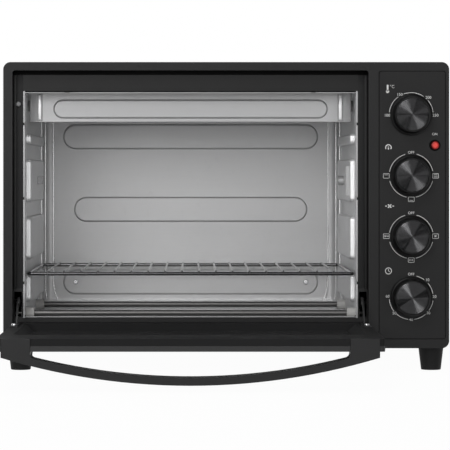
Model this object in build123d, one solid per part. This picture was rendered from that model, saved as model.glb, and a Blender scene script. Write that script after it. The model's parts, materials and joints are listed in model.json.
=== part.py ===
"""Toaster oven with a fold-down glass door, shown with the door open.

Millimetres, +Z up, the front faces -Y. Pieces are drawn with the front face of the
front frame at Y = 0 and the table at Z = 0. On export everything moves along Y, so
that the origin is the middle of the whole footprint, open door included.
"""
import os
from math import asin, cos, radians, sin, sqrt

from build123d import *

# Overall body
body_width = 480.0
body_height = 308.0
body_depth = 350.0
foot_height = 25.0
corner_radius = 8.0

# Sheet metal
cover_sheet = 0.8
liner_sheet = 0.8
plate_sheet = 1.0
bracket_sheet = 1.2

# Front frame
frame_depth = 24.0
frame_face = 5.0
frame_wall = 2.0
recess_depth = 16.0
left_border = 9.9
top_border = 8.9
bottom_border = 9.4
column_width = 10.8
panel_width = 72.6
panel_border_right = 3.4
panel_border_top = 9.3
panel_border_bottom = 9.6
panel_groove = 0.9
panel_thickness = 2.5
panel_ledge = 2.4
panel_corner = 3.0
window_corner = 3.0

# Outer cover, base and back
cover_inset = 0.6
base_flange = 25.0
rear_flange = 12.0
back_inset = 4.0
slot_width = 3.2
slot_length = 34.0
slot_pitch = 8.0
side_slots = 11
top_slots = 16
base_slots = 18
back_slots = 12
screw_radius = 1.9
screw_head_radius = 3.6
screw_head = 1.8

# Oven liner
mouth_side = 11.8
mouth_rise = 23.6
mouth_drop = 23.1
mouth_corner = 5.0
floor_drop = 8.0
ceiling_rise = 11.0
liner_rear_gap = 20.0
back_corner = 13.0
back_rim = 16.0
back_step = 1.6
pad_depth = 5.0
pad_front_gap = 43.0
pad_rear_gap = 12.0
pad_edge = 2.2
groove_height = 16.4
level_pitch = 63.4
first_level = 52.0
top_pad_height = 11.5
pad_floor_gap = 22.0

# Ribs pressed into the back wall, and the baffle
rib_height = 29.5
rib_depth = 2.6
rib_edge = 2.0
long_rib_gap = 26.85
short_rib_gap = 39.85
rib_pitch = 87.3
rib_middle = 120.0
rib_screw_radius = 3.0
baffle_back = 60.0
baffle_drop = 31.3
baffle_side_gap = 3.4
baffle_end = 13.0
baffle_sweep = 4.0
baffle_flange = 14.0
baffle_rib_gap = 12.95
baffle_rib_height = 20.5
baffle_rib_rise = 4.0

# Heaters
heater_radius = 3.15
lower_heater_rise = 10.8
upper_heater_drop = 24.0
heater_front = 42.0
heater_spacing = 190.0
upper_heater_front = 88.0
upper_heater_spacing = 144.0
bush_radius = 6.0
bush_length = 13.6
bush_nose = 9.3
terminal_radius = 1.5
terminal_length = 6.0

# Wire rack
rack_side_gap = 1.85
rack_front_gap = 8.0
rack_rear_gap = 11.0
rack_bar = 3.8
rack_wire = 2.3
rack_wires = 18
rack_first_wire = 22.45
rack_weld = 0.6
rack_corner = 4.0
rack_seat_gap = 0.3

# Door
door_gap_side = 2.1
door_gap_bottom = 2.1
door_gap_top = 2.6
door_proud = 1.0
door_outer_thickness = 5.5
door_inner_thickness = 7.2
door_stile = 22.0
door_top_rail = 70.0
door_bottom_rail = 34.0
door_skin = 1.0
window_slope = 9.0
door_corner = 4.0
glass_thickness = 4.0
glass_overlap = 8.0
hinge_setback = 4.0
hinge_rise = 10.4
pin_radius = 1.75
pin_grip = 9.0
pin_clearance = 0.05
bush_wall = 1.2
bush_seat = 1.5

# Hinge arms and springs
arm_radius = 31.2
arm_width = 7.5
arm_sheet = 1.6
arm_inset = 4.5
arm_start = 12.0
arm_end = 120.0
arm_foot_length = 62.0
arm_foot_width = 8.0
arm_foot_sheet = 1.2
arm_screw_distance = 72.0
dome_radius = 3.0
dome_round = 0.7
dome_height = 1.9
slot_inset = 1.0
slot_side = 8.0
arm_slot_height = 27.0
spring_radius = 3.0
spring_wire = 0.8
spring_length = 62.0
spring_hook = 16.0
spring_side_gap = 0.4
hook_clearance = 0.3
anchor_width = 8.0

# Handle
handle_end_gap = 5.2
handle_reach = 33.0
handle_end_reach = 5.8
handle_grip = 7.6
handle_post = 28.7
handle_height = 24.0
handle_lip = 1.4
handle_fillet = 4.8
handle_screw_radius = 2.0
handle_screw_bite = 9.0

# Knobs, shafts and controls
knob_count = 4
first_knob_drop = 56.6
last_knob_rise = 54.6
knob_offset = -1.2
knob_height = 18.0
knob_skirt = 22.4
knob_skirt_thickness = 3.4
knob_shoulder = 20.4
knob_top = 18.8
knob_gap = 0.6
face_radius = 17.6
face_thickness = 0.8
face_recess = 1.0
shaft_radius = 3.0
shaft_clearance = 0.05
shaft_depth = 20.0
shaft_tip_gap = 0.6
stem_radius = 4.8
stem_length = 2.2
panel_hole_clearance = 1.2
switch_width = 36.0
switch_depth = 26.0
switch_corner = 2.0
thermostat_width = 30.0
thermostat_depth = 32.0
timer_radius = 25.0
timer_depth = 36.0
bell_radius = 17.0
bell_depth = 9.0

# Lamp
lamp_side = 25.4
lamp_drop = 89.6
lamp_bezel_radius = 6.0
lamp_bezel_proud = 1.2
lamp_lens_radius = 4.6
lamp_lens_proud = 3.0
lamp_body_radius = 4.9
lamp_body_length = 24.0

# Fan and spit drive, behind the right wall
fan_setback = 95.0
fan_radius = 33.0
fan_blades = 8
fan_disc = 1.2
fan_blade_height = 9.0
fan_blade_sheet = 1.2
fan_hub = 7.0
fan_wall_gap = 4.0
fan_shaft = 2.0
fan_motor_radius = 22.0
fan_motor_length = 30.0
fan_plate_radius = 43.0
fan_plate = 1.2
fan_post = 2.5
fan_plate_gap = 2.0
vent_slots = 9
vent_slot_width = 3.6
vent_slot_height = 34.0
vent_pitch = 7.6
spit_setback = 178.0
spit_socket_radius = 5.0
spit_socket_reach = 6.0
spit_square = 5.5
spit_square_depth = 9.0
spit_hole_clearance = 0.6
spit_motor_radius = 24.0
spit_motor_length = 21.0
spit_shaft = 3.0
spit_plate = 1.5
spit_plate_width = 56.0
rest_width = 12.0
rest_height = 9.0
rest_reach = 6.0
rest_notch = 3.6

# Feet, gland and wiring
foot_inset = 17.0
rear_foot_inset = 56.0
foot_setback = 30.0
foot_top_radius = 13.7
foot_tip_radius = 10.7
foot_screw_recess = 12.0
foot_screw_clearance = 0.4
gland_inset = 50.0
gland_rise = 42.0
gland_radius = 8.0
gland_flange = 12.0
gland_flange_thickness = 3.0
gland_bore = 4.0
gland_length = 14.0
bumper_radius = 2.7
bumper_height = 3.6
bumper_inset = 5.5
bumper_drop = 36.0
block_width = 44.0
block_depth = 20.0
block_height = 16.0
block_rear_gap = 60.0
wire_radius = 1.4
wire_pitch = 5.0
wire_turn = 14.0

# Levels and edges worked out from the driving sizes
half_width = body_width / 2
body_bottom = foot_height
body_top = body_bottom + body_height
window_left = -half_width + left_border
panel_right = half_width - panel_border_right
panel_left = panel_right - panel_width
window_right = panel_left - column_width
window_bottom = body_bottom + bottom_border
window_top = body_top - top_border
door_middle = (window_left + window_right) / 2
panel_bottom = body_bottom + panel_border_bottom
panel_top = body_top - panel_border_top
bracket_front = frame_face
bracket_back = bracket_front + bracket_sheet
cover_half = half_width - cover_inset
cover_top = body_top - cover_inset
cover_rear = body_depth - cover_sheet
cover_round = corner_radius - cover_inset

mouth_left = window_left + mouth_side
mouth_right = window_right - mouth_side
mouth_width = mouth_right - mouth_left
mouth_bottom = window_bottom + mouth_rise
mouth_top = window_top - mouth_drop
plate_back = recess_depth + plate_sheet
liner_floor = mouth_bottom - floor_drop
liner_ceiling = mouth_top + ceiling_rise
liner_back = body_depth - liner_rear_gap
liner_side_end = liner_back - back_rim

groove_floors = [liner_floor + first_level + level_pitch * n for n in range(3)]
pad_front = plate_back + pad_front_gap
pad_rear = liner_side_end - pad_rear_gap
rack_width = mouth_width - 2 * rack_side_gap
rack_front = plate_back + rack_front_gap
rack_rear = liner_side_end - rack_rear_gap
rack_wire_pitch = (rack_width - 2 * rack_first_wire) / (rack_wires - 1)
fan_level = groove_floors[2] - (level_pitch - groove_height) / 2
spit_level = fan_level

door_left = window_left + door_gap_side
door_right = window_right - door_gap_side
door_bottom = window_bottom + door_gap_bottom
door_top = window_top - door_gap_top
door_outer = -door_proud
door_joint = door_outer + door_outer_thickness
door_inner = door_joint + door_inner_thickness
hinge_y = hinge_setback
hinge_z = window_bottom + hinge_rise

knob_x = (panel_left + panel_right) / 2 + knob_offset
first_knob = body_top - first_knob_drop
knob_pitch = (first_knob - body_bottom - last_knob_rise) / (knob_count - 1)
knob_levels = [first_knob - knob_pitch * n for n in range(knob_count)]
control_names = ["thermostat", "mode_switch", "function_switch", "timer"]
knob_names = ["temperature", "mode", "function", "timer"]

arm_sides = {"left": -1, "right": 1}
open_door = Pos(0, hinge_y, hinge_z) * Rot(90, 0, 0) * Pos(0, -hinge_y, -hinge_z)
gland_side = half_width - gland_inset
gland_end = body_depth + gland_flange_thickness
block_setback = body_depth - block_rear_gap
handle_tip = hinge_y - (door_top + handle_lip - hinge_z)
footprint_middle = (handle_tip + gland_end) / 2


def rect(low_a, high_a, low_b, high_b, radius=0.0):
    """A rectangle between two corners, with rounded corners if a radius is given."""
    width, height = high_a - low_a, high_b - low_b
    face = RectangleRounded(width, height, radius) if radius > 0 else Rectangle(width, height)
    return Pos((low_a + high_a) / 2, (low_b + high_b) / 2) * face


def along_y(sketch, low, high):
    """Extrude a sketch drawn in X and Z from low to high along Y."""
    return extrude(Plane((0, high, 0), (1, 0, 0), (0, -1, 0)) * sketch, high - low)


def along_x(sketch, low, high):
    """Extrude a sketch drawn in Y and Z from low to high along X."""
    return extrude(Plane((low, 0, 0), (0, 1, 0), (1, 0, 0)) * sketch, high - low)


def along_z(sketch, low, high):
    """Extrude a sketch drawn in X and Y from low to high along Z."""
    return extrude(Plane((0, 0, low), (1, 0, 0), (0, 0, 1)) * sketch, high - low)


def disc(a, b, radius):
    """A circle at a point of a sketch."""
    return Pos(a, b) * Circle(radius)


def row_of_slots(middle_a, middle_b, pitch, count, length, upright):
    """A row of rounded slots, side by side."""
    spin = 90 if upright else 0
    step_a, step_b = (pitch, 0) if upright else (0, pitch)
    first = -(count - 1) / 2
    places = [(middle_a + step_a * (first + n), middle_b + step_b * (first + n)) for n in range(count)]
    return Sketch() + [Pos(a, b) * SlotOverall(length, slot_width, rotation=spin) for a, b in places]


def turned_y(points, x, z):
    """Revolve an outline of (radius, Y) points about an axis along Y."""
    outline = make_face(Polyline(*points, close=True))
    return Pos(x, 0, z) * revolve(outline, Axis.Y)


def front_frame():
    outer = rect(-half_width, half_width, body_bottom, body_top, corner_radius)
    hollow = rect(
        -half_width + frame_wall, half_width - frame_wall,
        body_bottom + frame_wall, body_top - frame_wall, corner_radius - frame_wall,
    )
    window = rect(window_left, window_right, window_bottom, window_top, window_corner)
    surround = rect(
        window_left - frame_wall, window_right + frame_wall,
        window_bottom - frame_wall, window_top + frame_wall, window_corner + frame_wall,
    )
    pocket = rect(panel_left, panel_right, panel_bottom, panel_top, panel_corner)
    opening = rect(
        panel_left + panel_ledge, panel_right - panel_ledge,
        panel_bottom + panel_ledge, panel_top - panel_ledge, panel_corner,
    )
    frame = along_y(outer, 0, frame_depth) - along_y(hollow, frame_face, frame_depth)
    frame += along_y(surround, 0, recess_depth)
    frame -= along_y(window, 0, recess_depth)
    frame -= along_y(pocket, 0, panel_thickness)
    frame -= along_y(opening, 0, frame_face)
    bush_hole = disc(hinge_y, hinge_z, pin_radius + pin_clearance + bush_wall)
    bush_length_in_wall = frame_wall + bush_seat
    frame -= along_x(bush_hole, window_left - bush_length_in_wall, window_left)
    frame -= along_x(bush_hole, window_right, window_right + bush_length_in_wall)
    return frame


def control_panel():
    plate = rect(
        panel_left + panel_groove, panel_right - panel_groove,
        panel_bottom + panel_groove, panel_top - panel_groove, panel_corner - panel_groove,
    )
    holes = [disc(knob_x, z, shaft_radius + panel_hole_clearance) for z in knob_levels]
    holes.append(disc(knob_x + lamp_side, body_top - lamp_drop, lamp_body_radius))
    return along_y(plate - holes, 0, panel_thickness)


def control_bracket():
    plate = rect(panel_left, panel_right, panel_bottom, panel_top)
    holes = [disc(knob_x, z, stem_radius) for z in knob_levels]
    holes.append(disc(knob_x + lamp_side, body_top - lamp_drop, lamp_body_radius))
    return along_y(plate - holes, bracket_front, bracket_back)


def outer_cover():
    outer = rect(-cover_half, cover_half, body_bottom, cover_top, cover_round)
    inner_half = cover_half - cover_sheet
    inner_bottom = body_bottom + cover_sheet
    inner_top = cover_top - cover_sheet
    inner = rect(-inner_half, inner_half, inner_bottom, inner_top, cover_round - cover_sheet)
    gap_half = cover_half - base_flange
    underside_gap = rect(-gap_half, gap_half, body_bottom, inner_bottom + rear_flange)
    rear_hole = rect(
        -inner_half + rear_flange, inner_half - rear_flange,
        inner_bottom + rear_flange, inner_top - rear_flange,
    )
    shell = outer - inner - rect(-gap_half, gap_half, body_bottom, inner_bottom)
    wrap = along_y(shell, frame_depth, cover_rear)
    wrap += along_y(inner - rear_hole - underside_gap, cover_rear - cover_sheet, cover_rear)
    middle_y = (frame_depth + cover_rear) / 2
    middle_z = (body_bottom + body_top) / 2
    side_cut = row_of_slots(middle_y, middle_z, slot_pitch, side_slots, slot_length, True)
    wrap -= along_x(side_cut, cover_half - cover_sheet, cover_half)
    top_cut = row_of_slots(door_middle, cover_rear - slot_length, slot_pitch, top_slots, slot_length, True)
    wrap -= along_z(top_cut, inner_top, cover_top)
    return wrap


def base_plate():
    low = body_bottom + cover_sheet
    half = cover_half - cover_round
    plate = rect(-half, half, frame_depth, cover_rear - cover_sheet)
    middle_y = (frame_depth + cover_rear) / 2
    for row in (-1, 1):
        plate -= row_of_slots(
            door_middle, middle_y + row * slot_length, slot_pitch, base_slots, slot_length, True
        )
    base = along_z(plate, low, low + cover_sheet)
    for side in (-1, 1):
        x = arm_x(side) + side * spring_offset()
        half_tab = anchor_width / 2
        tab = rect(x - half_tab, x + half_tab, low + cover_sheet, anchor_level() + spring_radius)
        base += along_y(tab, anchor_y(), anchor_y() + bracket_sheet)
    return base


def back_panel():
    half = cover_half - back_inset
    plate = rect(-half, half, body_bottom + back_inset, cover_top - back_inset, cover_round)
    plate -= disc(gland_side, body_bottom + gland_rise, gland_radius)
    middle_z = (body_bottom + body_top) / 2
    for row in (-1, 1):
        row_z = middle_z + row * slot_length
        plate -= row_of_slots(door_middle, row_z, slot_pitch, back_slots, slot_length, True)
    return along_y(plate, cover_rear, body_depth)


def case_screws():
    """Pan-head screws that hold the back panel to the cover's rear flange."""
    x = cover_half - cover_sheet - rear_flange / 2
    levels = [body_bottom + base_flange, (body_bottom + body_top) / 2, body_top - base_flange]
    screws = []
    for side in (-1, 1):
        for z in levels:
            head = along_y(disc(side * x, z, screw_head_radius), body_depth, body_depth + screw_head)
            screws.append(head)
    return screws


def front_plate():
    plate = rect(
        window_left - frame_wall, window_right + frame_wall,
        window_bottom - frame_wall, window_top + frame_wall, window_corner,
    )
    plate -= rect(mouth_left, mouth_right, mouth_bottom, mouth_top, mouth_corner)
    for edge, side in ((window_left, 1), (window_right, -1)):
        slot_a, slot_b = sorted((edge + side * slot_inset, edge + side * (slot_inset + slot_side)))
        plate -= rect(slot_a, slot_b, mouth_bottom, mouth_bottom + arm_slot_height)
    return along_y(plate, recess_depth, plate_back)


def pad_spans():
    """Heights between which the side walls are pressed inwards, from the floor up."""
    spans = [(liner_floor + pad_floor_gap, groove_floors[0])]
    for low, high in zip(groove_floors, groove_floors[1:]):
        spans.append((low + groove_height, high))
    last = groove_floors[-1] + groove_height
    spans.append((last, last + top_pad_height))
    return spans


def vent_holes():
    """Air slots in front of the fan and the hole for the spit socket, in the right wall's pads."""
    first = -(vent_slots - 1) / 2
    slot = SlotOverall(vent_slot_height, vent_slot_width, rotation=90)
    holes = [Pos(fan_setback + (first + n) * vent_pitch, fan_level) * slot for n in range(vent_slots)]
    return holes + [disc(spit_setback, spit_level, spit_socket_radius + spit_hole_clearance)]


def side_wall(side):
    """A liner wall with hollow rack pads welded over its windows; side is -1 left, 1 right."""
    face = door_middle + side * mouth_width / 2
    back = face + side * liner_sheet
    crest = face - side * pad_depth
    inmost = 0 if side > 0 else -1
    sheet = rect(plate_back, liner_side_end, liner_floor, liner_ceiling)
    pads = []
    for low, high in pad_spans():
        pad = along_x(rect(pad_front, pad_rear, low, high, pad_edge * 2), *sorted((face, crest)))
        pad = fillet(pad.faces().sort_by(Axis.X)[inmost].edges(), pad_edge)
        window = rect(
            pad_front + liner_sheet, pad_rear - liner_sheet, low + liner_sheet, high - liner_sheet,
            pad_edge * 2 - liner_sheet,
        )
        hollow = along_x(window, *sorted((face, crest + side * liner_sheet)))
        pad -= fillet(hollow.faces().sort_by(Axis.X)[inmost].edges(), pad_edge - liner_sheet)
        if side > 0:
            pad -= along_x(Sketch() + vent_holes(), crest, face)
        pads.append(pad)
        sheet -= window
    lower_z = liner_floor + lower_heater_rise
    upper_z = liner_ceiling - upper_heater_drop
    for n in range(2):
        sheet -= disc(heater_front + n * heater_spacing, lower_z, bush_radius)
        sheet -= disc(upper_heater_front + n * upper_heater_spacing, upper_z, bush_radius)
    return [along_x(sheet, *sorted((face, back)))] + pads


def liner_floor_sheet():
    sheet = rect(mouth_left - liner_sheet, mouth_right + liner_sheet, plate_back, liner_side_end)
    return along_z(sheet, liner_floor - liner_sheet, liner_floor)


def liner_ceiling_sheet():
    sheet = rect(mouth_left - liner_sheet, mouth_right + liner_sheet, plate_back, liner_side_end)
    return along_z(sheet, liner_ceiling, liner_ceiling + liner_sheet)


def back_wall():
    """A shallow pan, open to the front, with three ribs pressed forward."""
    wide = rect(
        mouth_left - liner_sheet, mouth_right + liner_sheet,
        liner_floor - liner_sheet, liner_ceiling + liner_sheet,
    )
    narrow = rect(
        mouth_left + back_step, mouth_right - back_step,
        liner_floor + back_step, liner_ceiling - back_step,
    )
    block = along_y(wide, liner_side_end, liner_back + liner_sheet)
    block = fillet(block.faces().sort_by(Axis.Y)[-1].edges(), back_corner + liner_sheet)
    inside = along_y(narrow, liner_side_end, liner_back)
    inside = fillet(inside.faces().sort_by(Axis.Y)[-1].edges(), back_corner)
    wall = block - inside
    for length, z in rib_rows():
        outline = Pos(door_middle, z) * SlotOverall(length, rib_height)
        rib = along_y(outline, liner_back - rib_depth, liner_back)
        wall += fillet(rib.faces().sort_by(Axis.Y)[0].edges(), rib_edge)
        inner = SlotOverall(length - 2 * liner_sheet, rib_height - 2 * liner_sheet)
        hollow_front = liner_back - rib_depth + liner_sheet
        wall -= along_y(Pos(door_middle, z) * inner, hollow_front, liner_back + liner_sheet)
    return wall


def rib_rows():
    """Length and height of each pressed rib, from the bottom up."""
    middle = liner_floor + rib_middle
    long_rib = mouth_width - 2 * long_rib_gap
    short_rib = mouth_width - 2 * short_rib_gap
    return [(long_rib, middle - rib_pitch), (short_rib, middle), (long_rib, middle + rib_pitch)]


def back_wall_screws():
    length, z = rib_rows()[0]
    reach = length / 2 - rib_height / 2
    front = liner_back - rib_depth
    heads = []
    for side in (-1, 1):
        head = along_y(disc(door_middle + side * reach, z, rib_screw_radius), front - screw_head, front)
        heads.append(fillet(head.faces().sort_by(Axis.Y)[0].edges(), screw_head * 0.6))
    return heads


def upper_baffle():
    """A plate hung from the ceiling in front of the upper heaters, its ends swept back."""
    low = mouth_top - baffle_drop
    half = mouth_width / 2 - baffle_side_gap
    bend = half - baffle_end
    front, back = baffle_back, baffle_back + liner_sheet
    plan = make_face(
        Polyline(
            (door_middle - half, front + baffle_sweep), (door_middle - bend, front),
            (door_middle + bend, front), (door_middle + half, front + baffle_sweep),
            (door_middle + half, back + baffle_sweep), (door_middle + bend, back),
            (door_middle - bend, back), (door_middle - half, back + baffle_sweep), close=True,
        )
    )
    plate = along_z(plan, low, liner_ceiling)
    flange = rect(door_middle - bend, door_middle + bend, front, front + baffle_flange)
    plate += along_z(flange, liner_ceiling - liner_sheet, liner_ceiling)
    middle = low + baffle_rib_rise + baffle_rib_height / 2
    length = 2 * (bend - baffle_rib_gap)
    slot = Pos(door_middle, middle) * SlotOverall(length, baffle_rib_height)
    inner = SlotOverall(length - 2 * liner_sheet, baffle_rib_height - 2 * liner_sheet)
    inner = Pos(door_middle, middle) * inner
    rib = along_y(slot, front - rib_depth, front)
    plate += fillet(rib.faces().sort_by(Axis.Y)[0].edges(), rib_edge)
    plate -= along_y(inner, front - rib_depth + liner_sheet, back)
    return plate


def heater_rows():
    """Name, setback and height of each heater."""
    lower_z = liner_floor + lower_heater_rise
    upper_z = liner_ceiling - upper_heater_drop
    return [
        ("lower_front_heater", heater_front, lower_z),
        ("lower_rear_heater", heater_front + heater_spacing, lower_z),
        ("upper_front_heater", upper_heater_front, upper_z),
        ("upper_rear_heater", upper_heater_front + upper_heater_spacing, upper_z),
    ]


def bush_start():
    """Distance from the middle of the oven to the inner ends of the bushes."""
    return mouth_width / 2 - bush_nose


def heater(y, z):
    reach = bush_start() + bush_length
    tube = along_x(disc(y, z, heater_radius), door_middle - reach, door_middle + reach)
    for side in (-1, 1):
        end = door_middle + side * reach
        pin = along_x(disc(y, z, terminal_radius), *sorted((end, end + side * terminal_length)))
        tube += pin
    return tube


def heater_bushes():
    bushes = []
    for _, y, z in heater_rows():
        ring = disc(y, z, bush_radius) - disc(y, z, heater_radius)
        for side in (-1, 1):
            start = door_middle + side * bush_start()
            bushes.append(along_x(ring, *sorted((start, start + side * bush_length))))
    return bushes


def wire_rack():
    """A rounded rim of bar with wires welded across it from front to back."""
    radius = rack_bar / 2
    z = groove_floors[0] + rack_seat_gap + radius
    half = rack_width / 2 - radius
    front, rear = rack_front + radius, rack_rear - radius
    outline = rect(door_middle - half, door_middle + half, front, rear, rack_corner)
    rim = (Pos(0, 0, z) * outline).wire()
    rack = sweep(Plane(rim @ 0, (0, 0, 1), rim % 0) * Circle(radius), rim)
    wire_z = z + radius + rack_wire / 2 - rack_weld
    first = -(rack_wires - 1) / 2
    wires = []
    for n in range(rack_wires):
        section = disc(door_middle + (first + n) * rack_wire_pitch, wire_z, rack_wire / 2)
        wires.append(along_y(section, front - radius, rear + radius))
    return rack.fuse(*wires)


def door_window(margin=0.0):
    """The door's glass opening, grown by a margin on each side."""
    return rect(
        door_left + door_stile - margin, door_right - door_stile + margin,
        door_bottom + door_bottom_rail - margin, door_top - door_top_rail + margin, door_corner + margin,
    )


def pin_bores():
    bore = disc(hinge_y, hinge_z, pin_radius)
    left = along_x(bore, door_left, door_left + pin_grip)
    right = along_x(bore, door_right - pin_grip, door_right)
    return [left, right]


def door_blank(radius):
    return rect(door_left, door_right, door_bottom, door_top, radius)


def door_outer_frame():
    frame = along_y(door_blank(door_corner) - door_window(), door_outer, door_joint)
    frame -= along_y(door_window(glass_overlap), door_joint - glass_thickness, door_joint)
    frame -= pin_bores()
    return frame - handle_screw_shanks()


def door_glass():
    return along_y(door_window(glass_overlap), door_joint - glass_thickness, door_joint)


def window_funnel(margin=0.0):
    """The space over the glass, widening towards the oven, grown by a margin."""
    sections = [(door_joint, margin), (door_inner, window_slope + margin)]
    faces = [Plane((0, y, 0), (1, 0, 0), (0, -1, 0)) * door_window(grown) for y, grown in sections]
    return loft(Sketch() + faces)


def door_inner_frame():
    """A pressed ring, hollow towards the glass, whose window slopes down to the glass."""
    hollow = rect(
        door_left + door_skin, door_right - door_skin,
        door_bottom + door_skin, door_top - door_skin, door_corner - door_skin,
    )
    frame = along_y(door_blank(door_corner), door_joint, door_inner)
    frame -= along_y(hollow, door_joint, door_inner - door_skin) - window_funnel(2 * door_skin)
    return frame - window_funnel() - pin_bores()


def hinge_pins():
    reach = frame_wall + door_gap_side
    bore = disc(hinge_y, hinge_z, pin_radius)
    return [
        along_x(bore, door_left - reach, door_left + pin_grip),
        along_x(bore, door_right - pin_grip, door_right + reach),
    ]


def hinge_bushes():
    """Plain bushes in the side walls of the door recess."""
    bore = disc(hinge_y, hinge_z, pin_radius + pin_clearance)
    barrel = disc(hinge_y, hinge_z, pin_radius + pin_clearance + bush_wall) - bore
    length = frame_wall + bush_seat
    return [
        along_x(barrel, window_left - length, window_left),
        along_x(barrel, window_right, window_right + length),
    ]


def arm_x(side):
    """Middle plane of a hinge arm."""
    edge = door_left if side < 0 else door_right
    return edge - side * arm_inset


def hinge_arm(side):
    """A quadrant about the hinge axis on a flat foot, drawn with the door open."""
    x = arm_x(side)
    deck = hinge_z + door_inner - hinge_y
    outer, inner = arm_radius + arm_width / 2, arm_radius - arm_width / 2
    start, end = radians(180 - arm_start), radians(180 - arm_end)
    middle = (start + end) / 2

    def at(radius, angle):
        return (hinge_y + radius * cos(angle), hinge_z + radius * sin(angle))

    outline = Curve() + [
        ThreePointArc(at(outer, start), at(outer, middle), at(outer, end)),
        Line(at(outer, end), at(inner, end)),
        ThreePointArc(at(inner, end), at(inner, middle), at(inner, start)),
        Line(at(inner, start), at(outer, start)),
    ]
    arm = along_x(make_face(outline), x - arm_sheet / 2, x + arm_sheet / 2)
    below = rect(hinge_y - 2 * arm_radius, hinge_y, deck - arm_radius, deck)
    arm -= along_x(below, x - arm_sheet, x + arm_sheet)
    foot_near = hinge_y - inner + arm_width / 2
    foot = rect(x - arm_foot_width / 2, x + arm_foot_width / 2, foot_near - arm_foot_length, foot_near)
    arm += along_z(foot, deck, deck + arm_foot_sheet)
    tail = at(arm_radius, end + asin(arm_width / 2 / arm_radius))
    return arm - along_x(disc(*tail, spring_wire + hook_clearance), x - arm_sheet, x + arm_sheet)


def door_screws():
    """Dome screws on the feet of the hinge arms, and screws up into the handle posts."""
    deck = hinge_z + door_inner - hinge_y + arm_foot_sheet
    screws = []
    for side in (-1, 1):
        place = disc(arm_x(side), hinge_y - arm_screw_distance, dome_radius)
        dome = along_z(place, deck, deck + dome_height)
        screws.append(fillet(dome.faces().sort_by(Axis.Z)[-1].edges(), dome_height * dome_round))
    return screws + [open_door * shank for shank in handle_screws_closed()]


def handle_half():
    return (door_right - door_left) / 2 - handle_end_gap


def handle_screw_places():
    reach = handle_half() - handle_post / 2
    z = door_top + handle_lip - handle_height / 2
    return [(door_middle - reach, z), (door_middle + reach, z)]


def handle_screw_shanks():
    tip = door_outer - handle_screw_bite
    return [along_y(disc(x, z, handle_screw_radius), tip, door_joint) for x, z in handle_screw_places()]


def handle_screws_closed():
    heads = [
        along_y(disc(x, z, screw_head_radius), door_joint, door_joint + screw_head)
        for x, z in handle_screw_places()
    ]
    return [shank + head for shank, head in zip(handle_screw_shanks(), heads)]


def door_handle():
    """A bow with a post at each end; the posts lap over the door's top edge."""
    half = handle_half()
    inner_half = half - handle_post
    rise = handle_reach - handle_end_reach
    radius = (half**2 + rise**2) / (2 * rise)
    centre = handle_reach - radius
    inner_end = centre + sqrt((radius - handle_grip) ** 2 - inner_half**2)
    outline = Curve() + [
        Line((-half, 0), (-half, handle_end_reach)),
        ThreePointArc((-half, handle_end_reach), (0, handle_reach), (half, handle_end_reach)),
        Line((half, handle_end_reach), (half, 0)),
        Line((half, 0), (inner_half, 0)),
        Line((inner_half, 0), (inner_half, inner_end)),
        ThreePointArc((inner_half, inner_end), (0, handle_reach - handle_grip), (-inner_half, inner_end)),
        Line((-inner_half, inner_end), (-inner_half, 0)),
        Line((-inner_half, 0), (-half, 0)),
    ]
    face = make_face(outline)
    corners = [v for v in face.vertices() if abs(abs(v.X) - inner_half) < 0.01 and v.Y > inner_end - 0.01]
    face = fillet(corners, handle_fillet)
    low, high = door_top + handle_lip - handle_height, door_top + handle_lip
    place = Plane((door_middle, door_outer, high), (1, 0, 0), (0, 0, -1))
    bow = extrude(place * face, high - low)
    for side in (-1, 1):
        edges = sorted((door_middle + side * half, door_middle + side * inner_half))
        bow += along_z(rect(*edges, door_outer, door_inner), door_top, high)
    return bow - handle_screw_shanks()


def spring_offset():
    """How far a spring's line lies outside its arm."""
    return arm_sheet / 2 + spring_radius + spring_side_gap


def arm_tail():
    """Where the spring hooks on, with the door open."""
    angle = radians(180 - arm_end) + asin(arm_width / 2 / arm_radius)
    return hinge_y + arm_radius * cos(angle), hinge_z + arm_radius * sin(angle)


def anchor_y():
    return arm_tail()[0] + spring_length + 2 * spring_hook


def anchor_level():
    return arm_tail()[1]


def door_springs():
    """Tension springs from the arm tails back to tabs on the base, drawn as plain barrels."""
    y, z = arm_tail()
    springs = []
    for side in (-1, 1):
        x = arm_x(side) + side * spring_offset()
        barrel = along_y(disc(x, z, spring_radius), y + spring_hook, y + spring_hook + spring_length)
        hook = disc(x, z, spring_wire)
        spring = barrel + along_y(hook, y - spring_wire, y + spring_hook)
        spring += along_y(hook, y + spring_hook + spring_length, anchor_y())
        eye = along_x(disc(y, z, spring_wire), *sorted((x, arm_x(side) - side * arm_sheet / 2)))
        springs.append(spring + eye)
    return springs


def knob(z):
    """A skirted knob with a shallow recess for its metal face."""
    near, top = -knob_gap, -knob_gap - knob_height
    outline = [
        (shaft_radius, near), (knob_skirt, near), (knob_skirt, near - knob_skirt_thickness),
        (knob_shoulder, near - knob_skirt_thickness), (knob_top, top), (face_radius, top),
        (face_radius, top + face_recess), (shaft_radius, top + face_recess),
    ]
    return turned_y(outline, knob_x, z)


def knob_face(z):
    seat = -knob_gap - knob_height + face_recess
    return along_y(disc(knob_x, z, face_radius), seat - face_thickness, seat)


def shaft(z):
    tip = -knob_gap - knob_height + face_recess + shaft_tip_gap
    return along_y(disc(knob_x, z, shaft_radius), tip, shaft_depth)


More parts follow.
